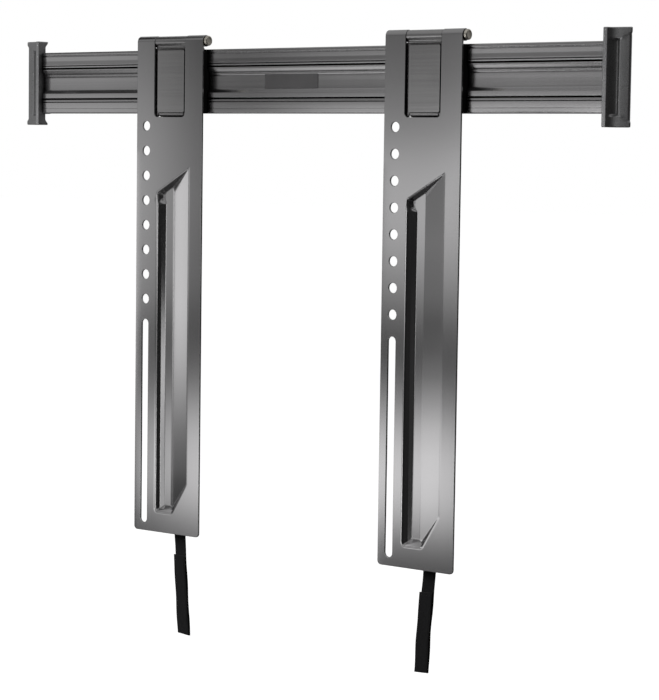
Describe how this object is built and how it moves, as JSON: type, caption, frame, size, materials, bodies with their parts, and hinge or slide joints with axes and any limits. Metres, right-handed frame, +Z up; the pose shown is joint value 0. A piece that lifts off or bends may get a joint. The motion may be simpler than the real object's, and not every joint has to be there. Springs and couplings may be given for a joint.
{
  "type": "tv wall mount",
  "caption": "Low-profile wall rail with end caps and sliding hook carriages, each with a hinged vertical television bracket, spring latch and hanging pull strap.",
  "frame": {"origin": "middle of the rail on the wall plane, centre of both wall bolt patterns", "axes": "+X along the rail to the right as seen from the room, +Y into the wall, +Z up"},
  "size_m": [0.7368, 0.0205, 0.6077],
  "materials": {
    "rail_aluminium": "anodised titanium grey, satin, fine lengthwise extrusion lines",
    "cover_aluminium": "anodised titanium grey, satin, fine lengthwise extrusion lines",
    "plate_black": "dark satin blank plate",
    "cap_plastic": "moulded dark grey plastic, fine texture",
    "hook_steel": "graphite powder coat, satin",
    "glide_plastic": "black nylon",
    "rivet_steel": "zinc plated",
    "slider_steel": "zinc plated",
    "spring_steel": "spring wire",
    "strap_webbing": "black woven webbing",
    "tab_webbing": "black woven webbing, stitched",
    "bracket_steel": "graphite powder coat, satin to semi-gloss",
    "pin_steel": "nickel plated, turned head"
  },
  "bodies": {
    "rail": {"wall_rail": "rail_aluminium", "rail_cover": "cover_aluminium", "nameplate": "plate_black", "left_end_cap": "cap_plastic", "right_end_cap": "cap_plastic"},
    "left_carriage": {"left_hook_plate": "hook_steel", "left_glide_shoe": "glide_plastic", "left_latch_rivets": "rivet_steel"},
    "left_latch": {"left_latch_slider": "slider_steel", "left_latch_spring": "spring_steel", "left_pull_strap": "strap_webbing", "left_strap_tab": "tab_webbing"},
    "left_bracket": {"left_tv_bracket": "bracket_steel", "left_hinge_pin": "pin_steel"},
    "right_carriage": {"right_hook_plate": "hook_steel", "right_glide_shoe": "glide_plastic", "right_latch_rivets": "rivet_steel"},
    "right_latch": {"right_latch_slider": "slider_steel", "right_latch_spring": "spring_steel", "right_pull_strap": "strap_webbing", "right_strap_tab": "tab_webbing"},
    "right_bracket": {"right_tv_bracket": "bracket_steel", "right_hinge_pin": "pin_steel"}
  },
  "joints": [
    {"name": "left_slide", "type": "slide", "parent": "rail", "child": "left_carriage", "axis": [1, 0, 0], "range_m": [-0.135, 0.108]},
    {"name": "left_release", "type": "slide", "parent": "left_carriage", "child": "left_latch", "axis": [0, 0, 1], "range_m": [-0.008, 0], "stiffness_N_per_m": 600, "springref_m": 0.003, "deforming": ["left_latch_spring"]},
    {"name": "left_swing", "type": "hinge", "parent": "left_carriage", "child": "left_bracket", "pos_m": [-0.158, -0.0148, 0.04], "axis": [-1, 0, 0], "range_deg": [0, 15]},
    {"name": "right_slide", "type": "slide", "parent": "rail", "child": "right_carriage", "axis": [1, 0, 0], "range_m": [-0.106, 0.135]},
    {"name": "right_release", "type": "slide", "parent": "right_carriage", "child": "right_latch", "axis": [0, 0, 1], "range_m": [-0.008, 0], "stiffness_N_per_m": 600, "springref_m": 0.003, "deforming": ["right_latch_spring"]},
    {"name": "right_swing", "type": "hinge", "parent": "right_carriage", "child": "right_bracket", "pos_m": [0.1535, -0.0148, 0.04], "axis": [-1, 0, 0], "range_deg": [0, 15]}
  ]
}
